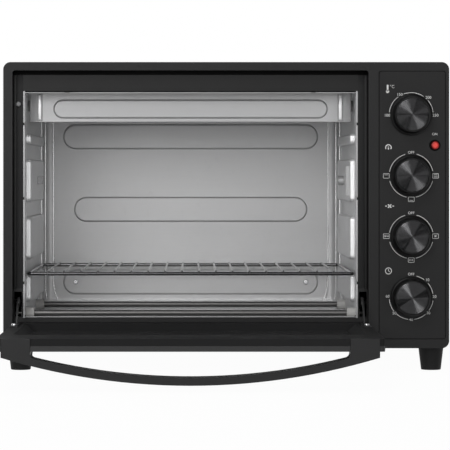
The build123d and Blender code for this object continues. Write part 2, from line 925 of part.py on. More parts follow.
def control(name, z):
    """A switch body behind the bracket, with its bearing stem through the bracket."""
    stem = along_y(disc(knob_x, z, stem_radius), bracket_back - stem_length, bracket_back)
    if name == "timer":
        body = along_y(disc(knob_x, z, timer_radius), bracket_back, bracket_back + timer_depth)
        bell_start = bracket_back + timer_depth
        body += along_y(disc(knob_x, z, bell_radius), bell_start, bell_start + bell_depth)
    elif name == "thermostat":
        half = thermostat_width / 2
        plan = rect(knob_x - half, knob_x + half, z - half, z + half)
        body = along_y(plan, bracket_back, bracket_back + thermostat_depth)
    else:
        half = switch_width / 2
        plan = rect(knob_x - half, knob_x + half, z - half, z + half, switch_corner)
        body = along_y(plan, bracket_back, bracket_back + switch_depth)
    bore = along_y(disc(knob_x, z, shaft_radius + shaft_clearance), bracket_back - stem_length, shaft_depth)
    return body + stem - bore


def lamp_holder():
    x, z = knob_x + lamp_side, body_top - lamp_drop
    bezel = along_y(disc(x, z, lamp_bezel_radius), -lamp_bezel_proud, 0)
    body = along_y(disc(x, z, lamp_body_radius), 0, lamp_body_length)
    return bezel + body - along_y(disc(x, z, lamp_lens_radius), -lamp_bezel_proud, 0)


def lamp_lens():
    x, z = knob_x + lamp_side, body_top - lamp_drop
    lens = along_y(disc(x, z, lamp_lens_radius), -lamp_lens_proud, 0)
    return fillet(lens.faces().sort_by(Axis.Y)[0].edges(), lamp_lens_proud * dome_round)


def fan_wheel():
    """Radial blades on a disc, with the motor's shaft."""
    start = mouth_right + liner_sheet + fan_wall_gap
    back = start + fan_blade_height
    wheel = along_x(disc(fan_setback, fan_level, fan_radius), back, back + fan_disc)
    wheel += along_x(disc(fan_setback, fan_level, fan_hub), start, back)
    for n in range(fan_blades):
        angle = 360 / fan_blades * n
        blade = rect(fan_hub / 2, fan_radius, -fan_blade_sheet / 2, fan_blade_sheet / 2)
        wheel += along_x(Pos(fan_setback, fan_level) * Rot(0, 0, angle) * blade, start, back)
    shaft_end = back + fan_disc + fan_plate_gap + fan_plate + fan_motor_length / 2
    wheel += along_x(disc(fan_setback, fan_level, fan_shaft), back, shaft_end)
    return wheel


def fan_motor():
    """Motor can on a round plate, on four posts off the flat grooves of the right wall."""
    wall = mouth_right + liner_sheet
    plate_start = wall + fan_wall_gap + fan_blade_height + fan_disc + fan_plate_gap
    plate_end = plate_start + fan_plate
    motor = along_x(disc(fan_setback, fan_level, fan_plate_radius), plate_start, plate_end)
    can = disc(fan_setback, fan_level, fan_motor_radius)
    motor += along_x(can, plate_end, plate_end + fan_motor_length)
    rise = level_pitch / 2
    side = sqrt((fan_plate_radius - 2 * fan_post) ** 2 - rise ** 2)
    for y in (fan_setback - side, fan_setback + side):
        for z in (fan_level - rise, fan_level + rise):
            motor += along_x(disc(y, z, fan_post), wall, plate_end)
    bore = disc(fan_setback, fan_level, fan_shaft + shaft_clearance)
    return motor - along_x(bore, plate_start, plate_end + fan_motor_length / 2)


def spit_socket():
    """The drive socket through the right wall's pad, with a square hole for the spit."""
    wall = mouth_right + liner_sheet
    start = mouth_right - pad_depth - spit_socket_reach
    place = Pos(spit_setback, spit_level)
    socket = along_x(place * Circle(spit_socket_radius), start, wall)
    socket += along_x(place * Circle(spit_shaft), wall, wall + spit_plate + spit_motor_length / 2)
    return socket - along_x(place * Rectangle(spit_square, spit_square), start, start + spit_square_depth)


def spit_motor():
    """Geared motor on a plate that spans the pad's hollow from groove to groove."""
    wall = mouth_right + liner_sheet
    can = wall + spit_plate
    place = Pos(spit_setback, spit_level)
    motor = along_x(place * Rectangle(spit_plate_width, level_pitch), wall, can)
    motor += along_x(place * Circle(spit_motor_radius), can, can + spit_motor_length)
    motor -= along_x(place * Circle(spit_shaft + shaft_clearance), wall, can + spit_motor_length / 2)
    relief = place * Circle(spit_socket_radius + spit_hole_clearance)
    return motor - along_x(relief, wall, can)


def spit_rest():
    """A notched bracket on the left wall's pad for the far end of the spit."""
    half = rest_width / 2
    block = rect(
        spit_setback - half, spit_setback + half, spit_level - rest_height / 2, spit_level + rest_height / 2,
    )
    notch = disc(spit_setback, spit_level, rest_notch)
    notch += rect(spit_setback - rest_notch, spit_setback + rest_notch, spit_level, spit_level + rest_height)
    crest = mouth_left + pad_depth
    return along_x(block - notch, crest, crest + rest_reach)


def foot_places():
    rows = [(foot_inset, foot_setback), (rear_foot_inset, body_depth - foot_setback)]
    return [(side * (half_width - inset), y) for inset, y in rows for side in (-1, 1)]


def feet():
    pieces = []
    bore = screw_radius + foot_screw_clearance
    recess = screw_head_radius + foot_screw_clearance
    for x, y in foot_places():
        outline = make_face(
            Polyline(
                (recess, 0), (foot_tip_radius, 0), (foot_top_radius, foot_height), (bore, foot_height),
                (bore, foot_screw_recess), (recess, foot_screw_recess), close=True,
            )
        )
        pieces.append(Pos(x, y, 0) * revolve(Plane.XZ * outline, Axis.Z))
    return pieces


def foot_screws():
    screws = []
    for x, y in foot_places():
        head = along_z(disc(x, y, screw_head_radius), foot_screw_recess - screw_head, foot_screw_recess)
        screws.append(head + along_z(disc(x, y, screw_radius), foot_screw_recess, foot_height))
    return screws


def cord_gland():
    x, z = gland_side, body_bottom + gland_rise
    inner_end = gland_end - gland_length - gland_flange_thickness
    gland = along_y(disc(x, z, gland_flange), body_depth, gland_end)
    gland += along_y(disc(x, z, gland_radius), inner_end, body_depth)
    return gland - along_y(disc(x, z, gland_bore), inner_end, gland_end)


def door_bumper():
    x, z = window_left + bumper_inset, window_top - bumper_drop
    dome = along_y(disc(x, z, bumper_radius), recess_depth - bumper_height, recess_depth)
    return fillet(dome.faces().sort_by(Axis.Y)[0].edges(), bumper_radius * dome_round)


def block_low():
    return body_bottom + 2 * cover_sheet


def terminal_block():
    low = block_low()
    half = block_width / 2
    plan = rect(gland_side - half, gland_side + half, block_setback - block_depth, block_setback)
    return along_z(plan, low, low + block_height)


def wires():
    """One wire from the terminal block up to the back of each control."""
    runs = []
    depths = [thermostat_depth, switch_depth, switch_depth, timer_depth + bell_depth]
    start_z = block_low() + block_height
    for n, (z, depth) in enumerate(zip(knob_levels, depths)):
        x = knob_x + (n - (knob_count - 1) / 2) * wire_pitch
        y = block_setback - block_depth / 2
        end = bracket_back + depth
        path = FilletPolyline((x, y, start_z), (x, y, z), (x, end, z), radius=wire_turn)
        runs.append(sweep(Plane(path @ 0, (1, 0, 0), path % 0) * Circle(wire_radius), path))
    return runs


def closed_to_open(shape):
    """Turn door pieces, drawn with the door shut, into the open position."""
    return [open_door * piece for piece in shape] if isinstance(shape, list) else open_door * shape


def all_pieces():
    pieces = {
        "front_frame": front_frame(),
        "control_panel": control_panel(),
        "control_bracket": control_bracket(),
        "outer_cover": outer_cover(),
        "base_plate": base_plate(),
        "back_panel": back_panel(),
        "case_screws": case_screws(),
        "front_plate": front_plate(),
        "liner_left_wall": side_wall(-1),
        "liner_right_wall": side_wall(1),
        "liner_floor": liner_floor_sheet(),
        "liner_ceiling": liner_ceiling_sheet(),
        "liner_back_wall": back_wall(),
        "back_wall_screws": back_wall_screws(),
        "upper_baffle": upper_baffle(),
        "heater_bushes": heater_bushes(),
        "wire_rack": wire_rack(),
        "door_outer_frame": closed_to_open(door_outer_frame()),
        "door_glass": closed_to_open(door_glass()),
        "door_inner_frame": closed_to_open(door_inner_frame()),
        "door_handle": closed_to_open(door_handle()),
        "door_screws": door_screws(),
        "hinge_pins": closed_to_open(hinge_pins()),
        "hinge_bushes": hinge_bushes(),
        "door_springs": door_springs(),
        "lamp_holder": lamp_holder(),
        "lamp_lens": lamp_lens(),
        "fan_wheel": fan_wheel(),
        "fan_motor": fan_motor(),
        "spit_socket": spit_socket(),
        "spit_motor": spit_motor(),
        "spit_rest": spit_rest(),
        "feet": feet(),
        "foot_screws": foot_screws(),
        "cord_gland": cord_gland(),
        "door_bumper": door_bumper(),
        "terminal_block": terminal_block(),
        "wires": wires(),
    }
    for name, y, z in heater_rows():
        pieces[name] = heater(y, z)
    for name, side in arm_sides.items():
        pieces[f"hinge_arm_{name}"] = hinge_arm(side)
    for name, device, z in zip(knob_names, control_names, knob_levels):
        pieces[f"{name}_knob"] = knob(z)
        pieces[f"{name}_knob_face"] = knob_face(z)
        pieces[f"{name}_shaft"] = shaft(z)
        pieces[device] = control(device, z)
    return pieces


def main():
    os.makedirs("parts", exist_ok=True)
    to_origin = Pos(0, -footprint_middle, 0)
    for name, shape in all_pieces().items():
        solids = shape if isinstance(shape, list) else [shape]
        moved = [to_origin * solid for solid in solids]
        export_step(moved[0] if len(moved) == 1 else Compound(children=moved), f"parts/{name}.step")
    print("hinge axis", 0, round(hinge_y - footprint_middle, 3), round(hinge_z, 3))
    print("shift along Y", round(-footprint_middle, 3))


main()
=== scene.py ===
import bpy
import json
from math import atan2, degrees, pi, radians
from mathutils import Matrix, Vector

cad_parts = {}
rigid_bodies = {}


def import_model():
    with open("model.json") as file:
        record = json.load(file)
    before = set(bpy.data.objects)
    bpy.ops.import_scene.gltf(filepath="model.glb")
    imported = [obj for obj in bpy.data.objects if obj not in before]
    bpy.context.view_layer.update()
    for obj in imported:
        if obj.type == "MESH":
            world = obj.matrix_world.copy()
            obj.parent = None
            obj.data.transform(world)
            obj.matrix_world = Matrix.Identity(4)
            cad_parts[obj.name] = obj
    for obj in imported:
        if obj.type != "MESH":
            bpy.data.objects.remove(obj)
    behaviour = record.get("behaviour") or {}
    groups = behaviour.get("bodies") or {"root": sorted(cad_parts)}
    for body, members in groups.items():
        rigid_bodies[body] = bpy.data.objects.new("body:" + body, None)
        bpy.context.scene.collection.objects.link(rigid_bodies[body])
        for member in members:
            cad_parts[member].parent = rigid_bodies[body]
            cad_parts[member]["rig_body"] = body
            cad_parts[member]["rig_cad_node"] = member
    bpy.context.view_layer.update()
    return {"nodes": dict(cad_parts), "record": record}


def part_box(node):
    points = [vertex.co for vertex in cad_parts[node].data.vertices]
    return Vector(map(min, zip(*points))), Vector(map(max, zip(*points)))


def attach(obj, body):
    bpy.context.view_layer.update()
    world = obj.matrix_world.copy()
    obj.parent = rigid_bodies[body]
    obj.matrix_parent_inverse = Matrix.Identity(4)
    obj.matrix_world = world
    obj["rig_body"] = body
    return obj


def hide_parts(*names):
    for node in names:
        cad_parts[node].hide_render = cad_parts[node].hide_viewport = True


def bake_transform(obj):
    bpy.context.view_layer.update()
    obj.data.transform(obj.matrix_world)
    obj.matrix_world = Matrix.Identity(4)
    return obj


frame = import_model()
nodes = frame["nodes"]
scene = bpy.context.scene
nodeSlot = {row["node"]: row["material_slot"] for row in frame["record"]["subparts"]}
nodeBody = {name: body for body, names in frame["record"]["behaviour"]["bodies"].items() for name in names}
mm = 0.001
micron = 0.000001
print("frame loaded:", len(nodes), "nodes")


# shader sums: a wrapped socket adds Math nodes when it is reckoned with
class Socket:
    def __init__(self, paint, socket):
        self.paint = paint
        self.socket = socket

    def reckon(self, operation, other):
        return self.paint.add("ShaderNodeMath", {"operation": operation}, {0: self, 1: other})

    def __add__(self, other):
        return self.reckon("ADD", other)

    def __mul__(self, other):
        return self.reckon("MULTIPLY", other)

    __radd__ = __add__
    __rmul__ = __mul__


class Paint:
    def __init__(self, name, tree=None):
        if tree is None:
            self.material = bpy.data.materials.new(name)
            self.material.use_nodes = True
            tree = self.material.node_tree
        self.tree = tree
        self.tree.nodes.clear()

    def add(self, kind, settings=None, inputs=None, output=0):
        node = self.tree.nodes.new(kind)
        for key, value in (settings or {}).items():
            if key == "stops":
                ramp = node.color_ramp.elements
                for stop, (place, tone) in zip(ramp, value):
                    stop.position = place
                    stop.color = (tone, tone, tone, 1)
            else:
                setattr(node, key, value)
        for key, value in (inputs or {}).items():
            if isinstance(value, Socket):
                self.tree.links.new(value.socket, node.inputs[key])
            else:
                node.inputs[key].default_value = value
        return Socket(self, node.outputs[output]) if node.outputs else None

    def place(self, stretch=(1, 1, 1), shift=(0, 0, 0)):
        spot = self.add("ShaderNodeTexCoord", output="Object")
        return self.add("ShaderNodeMapping", None, {"Vector": spot, "Location": shift, "Scale": stretch})

    def part(self, spot, axis):
        return self.add("ShaderNodeSeparateXYZ", None, {0: spot}, axis)

    def reach(self, centre):                    # distance from an axis that runs front to back
        spot = self.place((1, 0, 1), (-centre[0], 0, -centre[1]))
        return self.add("ShaderNodeVectorMath", {"operation": "LENGTH"}, {0: spot}, "Value")

    def noise(self, spot, scale, detail):
        values = {"Vector": spot, "Scale": scale, "Detail": detail}
        return self.add("ShaderNodeTexNoise", None, values, "Fac")

    def ramp(self, value, low, high, lowTone=0.0, highTone=1.0):
        stops = [(low, lowTone), (high, highTone)]
        return self.add("ShaderNodeValToRGB", {"stops": stops}, {"Fac": value})

    def mix(self, share, first, second):
        return self.add("ShaderNodeMix", {"data_type": "RGBA"}, {0: share, 6: first, 7: second}, 2)

    def bump(self, height, strength, depth):
        values = {"Height": height, "Strength": strength, "Distance": depth * micron}
        return self.add("ShaderNodeBump", None, values)

    def finish(self, inputs):
        surface = self.add("ShaderNodeBsdfPrincipled", None, inputs)
        self.add("ShaderNodeOutputMaterial", None, {"Surface": surface})
        return self.material


def tint(tone, share=1.0):
    return tuple(min(1.0, part * share) for part in tone) + (1.0,)


# satin black paint and moulded plastic: fine orange peel, slow cloudiness, faint rubbing; depths in microns
satinLook = {
    "cloud": 9, "cloudDetail": 3, "cloudSwing": 0.14, "cloudRough": 0.08,
    "grainDetail": 2, "grainRough": 0.08, "grainBump": 0.5,
    "rub": 60, "rubDetail": 5, "rubDrag": (1, 1, 0.25), "rubSpan": (0.56, 0.80),
    "rubShare": 0.10, "rubTone": 1.8, "rubRough": 0.05,
    "roughDrop": 0.10, "paintedLowSpan": (0.04, 0.32), "sheen": 0.20,
}
blackFinish = {
    "frameBlack": {"tone": (0.0078, 0.0078, 0.0080), "rough": 0.42, "grain": 1500, "depth": 60},
    "panelBlack": {"tone": (0.0062, 0.0062, 0.0064), "rough": 0.46, "grain": 2200, "depth": 50},
    "caseBlack": {"tone": (0.0090, 0.0090, 0.0092), "rough": 0.44, "grain": 1300, "depth": 80},
    # the plate's greyer lower part is painted light
    "plateBlack": {"tone": (0.0042, 0.0042, 0.0043), "rough": 0.42, "grain": 1300, "depth": 50,
                   "paintedLowLight": 1.4},
    "doorBlack": {"tone": (0.0148, 0.0148, 0.0151), "rough": 0.66, "grain": 1500, "depth": 60,
                  "sheen": 0.05},
    "doorEdgeBlack": {"tone": (0.0260, 0.0260, 0.0264), "rough": 0.46, "grain": 1500, "depth": 60},
    # near-black: the painted shadow under the frame's top bar, and the lamp bezel's own black with painted
    # shade round it
    "bezelAndShadowBlack": {"tone": (0.0016, 0.0016, 0.0016), "rough": 0.70, "grain": 1800, "depth": 80,
                  "sheen": 0.06},
    # painted shadow for the thin line above the mouth's top lip
    "paintedShadowBlack": {"tone": (0.0035, 0.0035, 0.0036), "rough": 0.75, "grain": 1500, "depth": 40,
                 "sheen": 0.0},
    "sideBlack": {"tone": (0.0150, 0.0150, 0.0153), "rough": 0.60, "grain": 1800, "depth": 60,
                  "sheen": 0.16},
    "handleBlack": {"tone": (0.0125, 0.0125, 0.0128), "rough": 0.44, "grain": 2400, "depth": 70},
    "knobBlack": {"tone": (0.0030, 0.0030, 0.0031), "rough": 0.46, "grain": 2400, "depth": 30},
    "footBlack": {"tone": (0.0060, 0.0060, 0.0062), "rough": 0.62, "grain": 2000, "depth": 100},
    "bumperGrey": {"tone": (0.2000, 0.2000, 0.2050), "rough": 0.55, "grain": 2000, "depth": 50},
    "motorGrey": {"tone": (0.1300, 0.1300, 0.1350), "rough": 0.50, "grain": 900, "depth": 100},
    "deviceCream": {"tone": (0.6200, 0.6050, 0.5600), "rough": 0.55, "grain": 900, "depth": 60},
    "sleeveTan": {"tone": (0.4500, 0.4200, 0.3500), "rough": 0.75, "grain": 2600, "depth": 200},
    "bushCeramic": {"tone": (0.4300, 0.4250, 0.4150), "rough": 0.70, "grain": 1800, "depth": 120},
}


def satinBlack(name, look):
    paint = Paint(name)
    tone, swing = look["tone"], satinLook["cloudSwing"]
    spot = paint.place()
    cloud = paint.noise(spot, satinLook["cloud"], satinLook["cloudDetail"])
    grain = paint.noise(spot, look["grain"], satinLook["grainDetail"])
    dragged = paint.place(satinLook["rubDrag"])
    rub = paint.ramp(paint.noise(dragged, satinLook["rub"], satinLook["rubDetail"]), *satinLook["rubSpan"])
    base = paint.mix(cloud, tint(tone, 1 - swing), tint(tone, 1 + swing))
    base = paint.mix(rub * satinLook["rubShare"], base, tint(tone, satinLook["rubTone"]))
    if "paintedLowLight" in look:                          # painted light: greyer low down
        paintedLowMask = paint.ramp(paint.part(spot, "Z"), *satinLook["paintedLowSpan"], 1.0, 0.0)
        base = paint.mix(paintedLowMask, base, tint(tone, 1 + look["paintedLowLight"]))
    rough = cloud * satinLook["cloudRough"] + grain * satinLook["grainRough"] + rub * satinLook["rubRough"]
    return paint.finish({
        "Base Color": base, "Roughness": rough + (look["rough"] - satinLook["roughDrop"]),
        "Specular IOR Level": look.get("sheen", satinLook["sheen"]),
        "Normal": paint.bump(grain, satinLook["grainBump"], look["depth"]),
    })


# sheet and plated metal: drawn lines along one way, slow clouds, small rub marks
drawnLook = {
    "lines": 900, "lineDetail": 3, "lineShare": 0.16, "lineTone": 0.80, "lineRough": 0.10,
    "lineBump": 0.25, "lineDepth": 30,
    "cloud": 12, "cloudDetail": 3, "cloudTones": (0.92, 1.06), "cloudRough": 0.08,
    "mark": 140, "markDetail": 4, "markSpan": (0.60, 0.78), "markShare": 0.10, "markTone": 0.70,
    "markRough": 0.06,
    "roughDrop": 0.10,
}
alongX, alongY, alongZ, allWays = (0.05, 1, 1), (1, 0.05, 1), (1, 1, 0.05), (1, 1, 1)
metalFinish = {
    # copies of the one liner steel: the side walls' brighter copy is painted light, the baffle-and-floor
    # and edge copies are darker, painted shade
    "linerMetal": {"tone": (0.59, 0.59, 0.594), "rough": 0.41, "metal": 0.30, "stretch": alongX},
    "wallSteelPaintedLight": {"tone": (0.86, 0.86, 0.865), "rough": 0.40, "metal": 0.60, "stretch": alongY},
    "baffleSteelPaintedShade": {"tone": (0.385, 0.385, 0.389), "rough": 0.36, "metal": 0.35, "stretch": alongX},
    "edgeSteelPaintedShade": {"tone": (0.36, 0.36, 0.365), "rough": 0.45, "metal": 0.30, "stretch": alongZ},
    "beadMetal": {"tone": (0.66, 0.66, 0.665), "rough": 0.34, "metal": 0.60, "stretch": alongZ},
    "creaseMetal": {"tone": (0.86, 0.86, 0.865), "rough": 0.28, "metal": 0.85, "stretch": alongZ},
    "armSteel": {"tone": (0.016, 0.016, 0.0165), "rough": 0.50, "metal": 0.5, "stretch": allWays},
    "innerSteel": {"tone": (0.46, 0.46, 0.465), "rough": 0.38, "metal": 0.9, "stretch": (1, 1, 0.06),
                   "lines": 700},
    "plainSteel": {"tone": (0.62, 0.62, 0.63), "rough": 0.26, "metal": 1.0, "stretch": allWays},
    "rackChrome": {"tone": (0.40, 0.40, 0.405), "rough": 0.20, "metal": 1.0, "stretch": (1, 0.1, 1),
                   "lines": 1200, "paintedBarShade": 0.18, "barWidth": 3.6, "barBlend": 0.5},
    "heaterMetal": {"tone": (0.130, 0.128, 0.126), "rough": 0.42, "metal": 0.8, "stretch": (0.2, 1, 1),
                    "lines": 700},
}


def paintedBarShadeMask(paint, look):                      # marks the heavier front and rear bars, by depth, for their painted shade
    low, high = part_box("wire_rack")
    along = paint.part(paint.place(shift=(0, -(low.y + high.y) / 2, 0)), "Y")
    reach = paint.add("ShaderNodeMath", {"operation": "ABSOLUTE"}, {0: along})
    edge = (high.y - low.y) / 2 - look["barWidth"] * mm
    return paint.ramp(reach, edge, edge + look["barBlend"] * mm)


def drawnMetal(name, look):
    paint = Paint(name)
    tone = look["tone"]
    dull, bright = drawnLook["cloudTones"]
    lineScale = look.get("lines", drawnLook["lines"])
    lines = paint.noise(paint.place(look["stretch"]), lineScale, drawnLook["lineDetail"])
    cloud = paint.noise(paint.place(), drawnLook["cloud"], drawnLook["cloudDetail"])
    mark = paint.noise(paint.place(), drawnLook["mark"], drawnLook["markDetail"])
    mark = paint.ramp(mark, *drawnLook["markSpan"])
    base = paint.mix(cloud, tint(tone, dull), tint(tone, bright))
    base = paint.mix(lines * drawnLook["lineShare"], base, tint(tone, drawnLook["lineTone"]))
    base = paint.mix(mark * drawnLook["markShare"], base, tint(tone, drawnLook["markTone"]))
    # painted shade: the rack's front and rear bars darker than its wires
    if "paintedBarShade" in look:
        base = paint.mix(paintedBarShadeMask(paint, look), base, tint(tone, look["paintedBarShade"]))
    rough = lines * drawnLook["lineRough"] + cloud * drawnLook["cloudRough"] + mark * drawnLook["markRough"]
    return paint.finish({
        "Base Color": base, "Roughness": rough + (look["rough"] - drawnLook["roughDrop"]),
        "Metallic": look["metal"],
        "Normal": paint.bump(lines, drawnLook["lineBump"], drawnLook["lineDepth"]),
    })


# spun knob faces: rings of slightly different tone and polish
spunLook = {"tone": (0.073, 0.073, 0.075), "toneSwing": 0.25, "rough": 0.165, "roughSwing": 0.06,
            "rings": 5200, "ringDetail": 1.0}


def spunMetal(name, centre):
    paint = Paint(name)
    tone, swing = spunLook["tone"], spunLook["toneSwing"]
    rings = {"W": paint.reach(centre), "Scale": spunLook["rings"], "Detail": spunLook["ringDetail"]}
    ring = paint.add("ShaderNodeTexNoise", {"noise_dimensions": "1D"}, rings, "Fac")
    base = paint.mix(ring, tint(tone, 1 - swing), tint(tone, 1 + swing))
    rough = ring * (2 * spunLook["roughSwing"]) + (spunLook["rough"] - spunLook["roughSwing"])
    return paint.finish({"Base Color": base, "Roughness": rough, "Metallic": 1.0})


# smoked door glass with a little haze and wiping smears
glassLook = {"dark": (0.42, 0.42, 0.425), "light": (0.48, 0.48, 0.485), "through": 0.96, "index": 1.5,
             "haze": 26, "smear": 70, "detail": 4, "smearDrag": (1, 0.2, 1), "smearSpan": (0.5, 0.8),
             "rough": 0.02, "hazeRough": 0.03, "smearRough": 0.05}


def doorGlass():
    paint = Paint("doorGlass")
    haze = paint.noise(paint.place(), glassLook["haze"], glassLook["detail"])
    smear = paint.noise(paint.place(glassLook["smearDrag"]), glassLook["smear"], glassLook["detail"])
    smear = paint.ramp(smear, *glassLook["smearSpan"])
    base = paint.mix(haze, tint(glassLook["dark"]), tint(glassLook["light"]))
    rough = haze * glassLook["hazeRough"] + smear * glassLook["smearRough"] + glassLook["rough"]
    return paint.finish({
        "Base Color": base, "Roughness": rough,
        "Transmission Weight": glassLook["through"], "IOR": glassLook["index"],
    })


# red lamp lens: moulded facets, with a painted highlight bright at its heart and painted shade nearly black
# at its rim
lampLook = {
    "rim": (0.035, 0.001, 0.001), "deep": (0.56, 0.020, 0.016), "paintedHighlight": (0.86, 0.085, 0.070),
    "paintedHighlightReach": 1.6, "paintedRimShadeReach": 4.6, "aside": 0.5, "rampLength": 10.0,
    "facets": 420, "facetDetail": 1, "facetBump": 0.4, "facetDepth": 400,
    "rough": 0.26, "facetRough": 0.12, "sheen": 0.25, "glow": 0.10,
}


def lampRed():
    paint = Paint("lampRed")
    low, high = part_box("lamp_lens")
    length, paintedHighlight, rim = lampLook["rampLength"], lampLook["paintedHighlightReach"], lampLook["paintedRimShadeReach"]
    facet = paint.noise(paint.place(), lampLook["facets"], lampLook["facetDetail"])
    reach = paint.reach(((low.x + high.x) / 2 + lampLook["aside"] * mm, (low.z + high.z) / 2))
    # painted shade towards the rim, painted highlight at the heart
    outward = paint.ramp(reach * (1 / (length * mm)), paintedHighlight / length, rim / length)
    base = paint.mix(facet, tint(lampLook["deep"]), tint(lampLook["paintedHighlight"]))
    base = paint.mix(outward, base, tint(lampLook["rim"]))
    return paint.finish({
        "Base Color": base, "Roughness": facet * lampLook["facetRough"] + lampLook["rough"],
        "Specular IOR Level": lampLook["sheen"],
        "Emission Color": base, "Emission Strength": lampLook["glow"],
        "Normal": paint.bump(facet, lampLook["facetBump"], lampLook["facetDepth"]),
    })


# white ink of the dial marks, slightly uneven
inkLook = {"thin": (0.56, 0.56, 0.555), "full": (0.74, 0.74, 0.73), "speckle": 1800, "detail": 3,
           "rough": 0.5, "speckleRough": 0.2}


def printWhite():
    paint = Paint("printWhite")
    ink = paint.noise(paint.place(), inkLook["speckle"], inkLook["detail"])
    base = paint.mix(ink, tint(inkLook["thin"]), tint(inkLook["full"]))
    return paint.finish({"Base Color": base, "Roughness": ink * inkLook["speckleRough"] + inkLook["rough"]})


finish = {name: satinBlack(name, look) for name, look in blackFinish.items()}
finish.update({name: drawnMetal(name, look) for name, look in metalFinish.items()})
finish.update({"doorGlass": doorGlass(), "lampRed": lampRed(), "printWhite": printWhite()})
slotFinish = {
    "frame_black": "frameBlack", "panel_black": "panelBlack", "case_black": "caseBlack",
    "plate_black": "plateBlack", "door_black": "doorBlack", "handle_black": "handleBlack",
    "knob_black": "knobBlack", "knob_metal": "innerSteel", "liner_metal": "linerMetal",
    "rack_chrome": "rackChrome", "heater_metal": "heaterMetal", "glass": "doorGlass",
    "plain_steel": "plainSteel", "inner_steel": "innerSteel", "ceramic_white": "bushCeramic",
    "lamp_red": "lampRed", "foot_black": "footBlack", "bumper_grey": "bumperGrey",
    "motor_grey": "motorGrey", "device_white": "deviceCream", "wire_insulation": "sleeveTan",
}
ownFinish = {                                   # pieces that differ from the rest of their slot; the liner's side walls take a brighter copy of its steel, painted light, and its baffle, floor, lip and spit rest darker copies, painted shade
    "liner_left_wall": "wallSteelPaintedLight", "liner_right_wall": "wallSteelPaintedLight",
    "upper_baffle": "baffleSteelPaintedShade", "liner_floor": "baffleSteelPaintedShade",
    "spit_rest": "edgeSteelPaintedShade", "spit_socket": "linerMetal",
    "hinge_pins": "armSteel", "hinge_bushes": "armSteel",
    "hinge_arm_left": "armSteel", "hinge_arm_right": "armSteel", "door_springs": "armSteel",
    # the lamp bezel takes the near-black of the painted shadow strip: its own black with painted shade
    "door_outer_frame": "doorEdgeBlack", "lamp_holder": "bezelAndShadowBlack",
}
nodeFinish = {name: ownFinish.get(name, slotFinish[slot]) for name, slot in nodeSlot.items()}
for name, node in nodes.items():
    for holder in node.material_slots:
        holder.material = finish[nodeFinish[name]]
print("finishes made:", len(finish))


# modelling helpers, each working on one object at a time
def only(piece):
    if bpy.context.mode != "OBJECT":
        bpy.ops.object.mode_set(mode="OBJECT")
    bpy.ops.object.select_all(action="DESELECT")
    piece.select_set(True)
    bpy.context.view_layer.objects.active = piece


def editing(piece):
    only(piece)
    bpy.ops.object.mode_set(mode="EDIT")
    bpy.ops.mesh.select_mode(type="VERT")
    bpy.ops.mesh.select_all(action="SELECT")


def fresh():
    piece = bpy.context.object
    only(piece)
    bpy.ops.object.transform_apply(location=True, rotation=True, scale=True)
    return piece


def pickFaces(piece, wanted):
    bpy.ops.mesh.select_mode(type="FACE")
    bpy.ops.mesh.select_all(action="DESELECT")
    bpy.ops.object.mode_set(mode="OBJECT")
    for face in piece.data.polygons:
        face.select = wanted(face)
    bpy.ops.object.mode_set(mode="EDIT")


def outwards():
    bpy.ops.mesh.select_all(action="SELECT")
    bpy.ops.mesh.normals_make_consistent(inside=False)


def done(piece, smoothAngle=None):
    bpy.ops.object.mode_set(mode="OBJECT")
    only(piece)
    bpy.ops.object.transform_apply(location=True, rotation=True, scale=True)
    if smoothAngle:
        bpy.ops.object.shade_smooth_by_angle(angle=radians(smoothAngle))
    return piece


def applyModifier(piece, kind, **settings):
    only(piece)
    modifier = piece.modifiers.new(kind.title(), kind)
    for key, value in settings.items():
        setattr(modifier, key, value)
    bpy.ops.object.modifier_apply(modifier=modifier.name)


def joined(pieces):
    bpy.ops.object.select_all(action="DESELECT")
    for piece in pieces:
        piece.select_set(True)
    bpy.context.view_layer.objects.active = pieces[0]
    bpy.ops.object.join()
    return bpy.context.object


def lineThrough(points):                        # a plane merged to one point, then drawn out along the line
    bpy.ops.object.select_all(action="DESELECT")
    bpy.ops.mesh.primitive_plane_add(size=mm)
    piece = bpy.context.object
    editing(piece)
    bpy.ops.mesh.merge(type="CENTER")
    bpy.ops.transform.translate(value=points[0])
    for here, there in zip(points, points[1:]):
        bpy.ops.mesh.extrude_region_move(TRANSFORM_OT_translate={"value": there - here})
    return piece


def dress(piece, name, sheet, body, stands=()):
    piece.name = name
    piece.data.name = name
    piece.data.materials.clear()
    piece.data.materials.append(finish[sheet] if isinstance(sheet, str) else sheet)
    if body:
        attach(piece, body)
    if stands:
        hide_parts(*stands)


# CAD pieces whose sheared edges get the small radii of the pressed and moulded ones
softEdge = {
    "front_frame": 0.6, "control_panel": 0.35, "front_plate": 0.3, "outer_cover": 0.25, "back_panel": 0.25,
    "door_outer_frame": 1.2, "door_inner_frame": 0.9, "door_handle": 1.6, "feet": 1.0, "cord_gland": 1.0,
    "lamp_holder": 0.35, "spit_rest": 0.4, "upper_baffle": 0.4, "liner_back_wall": 0.8,
}
softAngle = {"liner_back_wall": 22}             # its ribs rise gently
softLook = {"angle": 38, "segments": 3, "flat": 0.5, "smooth": 32, "weld": 2, "speck": 1}


